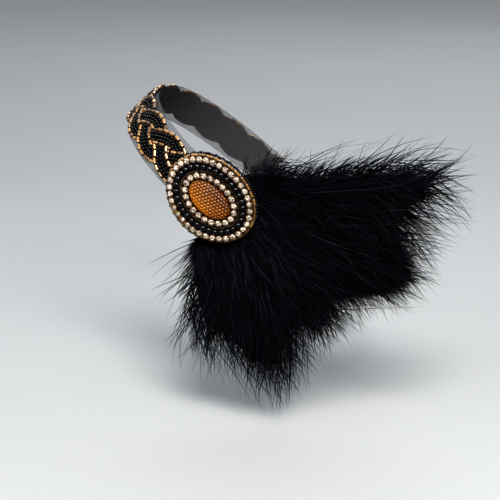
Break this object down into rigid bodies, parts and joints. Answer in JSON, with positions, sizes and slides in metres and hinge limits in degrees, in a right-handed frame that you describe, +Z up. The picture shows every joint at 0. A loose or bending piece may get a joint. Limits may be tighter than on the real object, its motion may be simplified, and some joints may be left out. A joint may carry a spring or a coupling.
{
  "type": "flapper headband",
  "caption": "Black and gold flapper headband in its worn form: plaited bead band on net ribbon, oval rhinestone medallion with an amber cabochon, and a fan of black marabou feathers.",
  "frame": {"origin": "centre of the loop, where it sits when worn", "axes": "+Z up as worn, -Y the way the wearer looks, +X the wearer's left, the medallion's side; the loop's plane is tipped 40 degrees about X with its front up"},
  "size_m": [0.1894, 0.2214, 0.1774],
  "materials": {
    "black_beads": "glossy opaque",
    "gold_bugles": "metallic lined, glossy",
    "crystal": "cut, foil backed, in gold cups",
    "amber": "moulded with small domes, glossy",
    "net": "sheer net",
    "elastic": "ribbed",
    "felt": "matte",
    "marabou": "downy, faint blue sheen"
  },
  "bodies": {
    "root": {"net_ribbon": "net", "bead_plait": "black_beads", "elastic_back": "elastic", "medallion_backing": "felt", "seed_edging": "black_beads", "bugle_ring_outer": "gold_bugles", "rhinestone_ring_outer": "crystal", "black_bead_ring": "black_beads", "bugle_ring_inner": "gold_bugles", "rhinestone_ring_inner": "crystal", "cabochon": "amber", "feather_upper": "marabou", "feather_back": "marabou", "feather_middle": "marabou", "feather_lower": "marabou", "feather_front": "marabou", "feather_tuft": "marabou"}
  },
  "joints": []
}
